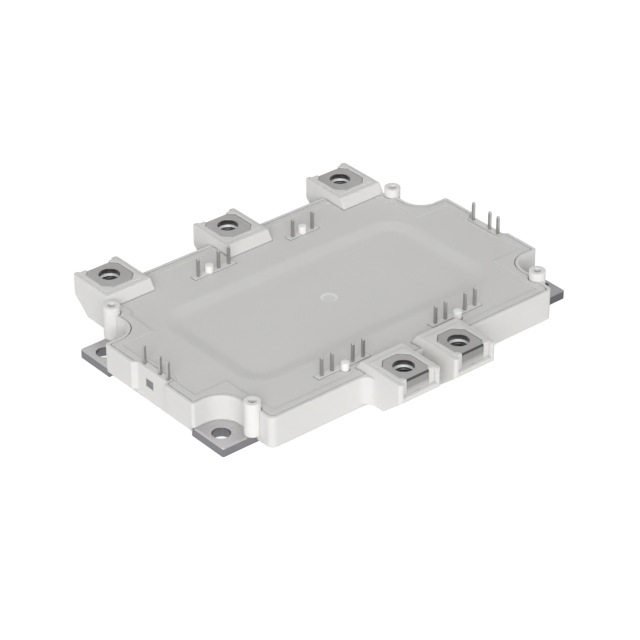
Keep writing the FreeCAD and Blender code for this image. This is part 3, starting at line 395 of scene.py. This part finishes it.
def field_grid(group, columns, rows):
    """A flat unit grid with the fields that say how far along it and across it a vertex lies, both from 0 to 1."""
    grid = add_node(group, "GeometryNodeMeshGrid", {"Vertices X": columns, "Vertices Y": rows})
    place = split(group, group.nodes.new("GeometryNodeInputPosition").outputs["Position"])
    return grid.outputs["Mesh"], calculate(group, "ADD", place["X"], 0.5), calculate(group, "ADD", place["Y"], 0.5)


def turned_surface(group, mesh, angle, radius, height, flip=False, smooth=False):
    """The grid bent round the upright axis."""
    place = add_node(group, "ShaderNodeCombineXYZ", {
        "X": calculate(group, "MULTIPLY", radius, calculate(group, "COSINE", angle)),
        "Y": calculate(group, "MULTIPLY", radius, calculate(group, "SINE", angle)), "Z": height})
    bent = add_node(group, "GeometryNodeSetPosition", {"Geometry": mesh, "Position": place.outputs["Vector"]})
    shaded = add_node(group, "GeometryNodeSetShadeSmooth", {"Geometry": bent.outputs["Geometry"],
                                                            "Shade Smooth": smooth}).outputs["Geometry"]
    if flip:
        return add_node(group, "GeometryNodeFlipFaces", {"Mesh": shaded}).outputs["Mesh"]
    return shaded


def make_nut_group():
    """A hexagon nut: outer wall, two faces and a helical thread, all bent from grids."""
    group, given = new_group(
        "threaded_nut", "GeometryNodeTree",
        [("Vector", "Place", (0, 0, 0)), ("Float", "Across flats", 0.01), ("Float", "Height", 0.0044),
         ("Float", "Minor diameter", 0.0051), ("Float", "Major diameter", 0.006), ("Float", "Pitch", 0.001),
         ("Float", "Mouth diameter", 0.0064), ("Material", "Material", None),
         ("Material", "Thread shade material", None)],
        [("Geometry", "Geometry")])
    steps_round, steps_up, corner_angle = 97, 49, math.radians(30)

    def maths(operation, *values):
        return calculate(group, operation, *values)

    def hexagon_radius(angle):
        within = maths("SUBTRACT", maths("FLOORED_MODULO", angle, math.pi / 3), math.pi / 6)
        return maths("DIVIDE", half_flats, maths("COSINE", within))

    def corner_drop(radius):
        over = maths("MAXIMUM", maths("SUBTRACT", radius, face_radius), 0)
        return maths("MULTIPLY", over, math.tan(corner_angle))

    height = given["Height"]
    half_flats, minor, major, mouth = [maths("MULTIPLY", given[size], 0.5) for size in (
        "Across flats", "Minor diameter", "Major diameter", "Mouth diameter")]
    face_radius = maths("MULTIPLY", half_flats, 0.97)

    mesh, along, across = field_grid(group, steps_round, 2)
    angle = maths("MULTIPLY", along, math.tau)
    wall = hexagon_radius(angle)
    drop = corner_drop(wall)
    reach = maths("SUBTRACT", height, maths("MULTIPLY", drop, 2))
    parts = [turned_surface(group, mesh, angle, wall, maths("MULTIPLY_ADD", across, reach, drop))]

    for upper in (True, False):
        mesh, along, across = field_grid(group, steps_round, 3)
        angle = maths("MULTIPLY", along, math.tau)
        twice = maths("MULTIPLY", across, 2)
        to_face_edge = maths("MINIMUM", twice, 1)
        to_corner = maths("MAXIMUM", maths("SUBTRACT", twice, 1), 0)
        ring = maths("MULTIPLY_ADD", maths("SUBTRACT", face_radius, mouth), to_face_edge, mouth)
        radius = maths("MULTIPLY_ADD", maths("SUBTRACT", hexagon_radius(angle), face_radius), to_corner, ring)
        lowered = corner_drop(radius)
        level = maths("SUBTRACT", height, lowered) if upper else lowered
        parts.append(turned_surface(group, mesh, angle, radius, level, flip=upper))

    mesh, along, across = field_grid(group, steps_round, steps_up)
    angle = maths("MULTIPLY", along, math.tau)
    level = maths("MULTIPLY", across, height)
    turns = maths("ADD", maths("DIVIDE", level, given["Pitch"]), along)
    wave = maths("MULTIPLY", maths("PINGPONG", turns, 0.5), 2)
    thread = maths("MULTIPLY_ADD", maths("SUBTRACT", major, minor), wave, minor)
    depth = maths("MINIMUM", level, maths("SUBTRACT", height, level))
    radius = maths("MAXIMUM", thread, maths("SUBTRACT", mouth, depth))
    parts.append(turned_surface(group, mesh, angle, radius, level, flip=True, smooth=True))

    join = group.nodes.new("GeometryNodeJoinGeometry")
    for part in parts:
        feed(group, join.inputs["Geometry"], part)
    merge = add_node(group, "GeometryNodeMergeByDistance", {"Geometry": join.outputs["Geometry"], "Distance": 1e-6})
    move = add_node(group, "GeometryNodeTransform", {"Geometry": merge.outputs["Geometry"],
                                                     "Translation": given["Place"]})
    single = add_node(group, "GeometryNodeRealizeInstances", {"Geometry": move.outputs["Geometry"]})
    plate = add_node(group, "GeometryNodeSetMaterial", {"Geometry": single.outputs["Geometry"],
                                                        "Material": given["Material"]})

    position = group.nodes.new("GeometryNodeInputPosition").outputs["Position"]
    offset = add_node(group, "ShaderNodeVectorMath", {0: position, 1: given["Place"]}, operation="SUBTRACT")
    spot = split(group, offset.outputs["Vector"])
    squares = maths("MULTIPLY_ADD", spot["Y"], spot["Y"], maths("MULTIPLY", spot["X"], spot["X"]))
    in_bore = maths("LESS_THAN", maths("SQRT", squares), maths("ADD", major, 0.0001))
    depth = maths("MINIMUM", spot["Z"], maths("SUBTRACT", height, spot["Z"]))
    past_mouth = maths("GREATER_THAN", depth, maths("SUBTRACT", mouth, minor))
    # Painted shade: the thread past the countersinks takes the near-black thread material.
    shaded_thread = add_node(group, "GeometryNodeSetMaterial", {
        "Geometry": plate.outputs["Geometry"], "Selection": maths("MULTIPLY", past_mouth, in_bore),
        "Material": given["Thread shade material"]})
    add_node(group, "NodeGroupOutput", {"Geometry": shaded_thread.outputs["Geometry"]})
    return group


def mesh_from_group(name, group, values):
    """Runs a geometry node group with named values and keeps its mesh as a plain object."""
    holder = bpy.data.objects.new(name, bpy.data.meshes.new(name))
    scene.collection.objects.link(holder)
    modifier = holder.modifiers.new(name, "NODES")
    modifier.node_group = group
    for item in group.interface.items_tree:
        if item.name in values and item.in_out == "INPUT":
            modifier[item.identifier] = values[item.name]
    depsgraph = bpy.context.evaluated_depsgraph_get()
    mesh = bpy.data.meshes.new_from_object(holder.evaluated_get(depsgraph))
    holder.modifiers.remove(modifier)
    holder.data = mesh
    return holder


# The nuts' bends and upright faces take painted shade.
nut_metal = plated_metal("zinc_plated_steel", bright=(0.74, 0.74, 0.745), dull=(0.64, 0.64, 0.645),
                         bend_painted_tone=(0.9, 0.9, 0.9), upright=(0.7, 0.7, 0.7), roughness=(0.5, 0.65))
# Painted shade: the thread deep in the bore is painted near black.
thread_shade_metal = plated_metal("painted_shade_thread", bright=(0.12, 0.12, 0.12), dull=(0.07, 0.07, 0.07), bend_painted_tone=(1, 1, 1),
                            upright=(1, 1, 1), roughness=(0.3, 0.45))
pocket_floor = 0.008
nut_group = make_nut_group()
for name, (x, y) in terminal_places.items():
    nut = mesh_from_group(f"{name}_threaded_nut", nut_group, {
        "Place": (x, y, pocket_floor), "Material": nut_metal, "Thread shade material": thread_shade_metal})
    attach(nut, "root")
    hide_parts(f"{name}_nut")


# Signal pins
# Square tinned bronze wire with tapered tips, pushed through the frame; the feet lie inside on the bonding ledge.

# The pins' bends are painted a little paler: a painted highlight.
pin_metal = plated_metal("tinned_bronze_wire", bright=(0.5, 0.495, 0.485), dull=(0.43, 0.425, 0.415),
                         bend_painted_tone=(1.1, 1.1, 1.1), upright=(1, 1, 1), stretch=(30, 30, 1), roughness=(0.35, 0.5))
for name in nodes:
    if "_pin_" in name:
        give_material(name, pin_metal)


# Plugs of the end walls
# Small dark square plugs, pressed into the windows in both end walls; their darkness is painted shade.

window_plug_shade = moulded_plastic("dark_window_plug", pale=(0.27, 0.27, 0.272), deep=(0.23, 0.23, 0.232),
                              roughness=(0.6, 0.75), crevice_shade=0.7)
for name in ("end_plug_left", "end_plug_right"):
    give_material(name, window_plug_shade)


# The circuit under the lid
# White ceramic plates with copper islands, silicon chips, aluminium ribbons and a temperature sensor, all under
# clear soft gel.

ceramic = moulded_plastic("alumina_ceramic", (0.86, 0.85, 0.82), (0.80, 0.79, 0.76), roughness=(0.5, 0.65))
# Copper and ribbon take painted shade on their upright faces.
copper = plated_metal("bare_copper", (0.80, 0.42, 0.26), (0.66, 0.33, 0.2), (1, 1, 1), (0.7, 0.7, 0.7))
silicon = moulded_plastic("silicon_chip", (0.10, 0.105, 0.12), (0.07, 0.075, 0.09), roughness=(0.15, 0.25))
ribbon = plated_metal("aluminium_ribbon", (0.78, 0.78, 0.79), (0.66, 0.66, 0.67), (1, 1, 1), (0.9, 0.9, 0.9))
sensor = moulded_plastic("sensor_body", (0.05, 0.05, 0.055), (0.03, 0.03, 0.035), roughness=(0.35, 0.5))
gel = moulded_plastic("silicone_gel", (0.66, 0.66, 0.62), (0.6, 0.6, 0.56), roughness=(0.08, 0.14))
inner_finishes = {"substrate_": ceramic, "tracks_": copper, "high_": silicon, "low_": silicon, "bonds_": ribbon,
                  "thermistor": sensor, "gel_filling": gel}
for name in nodes:
    for start, material in inner_finishes.items():
        if name.startswith(start):
            give_material(name, material)
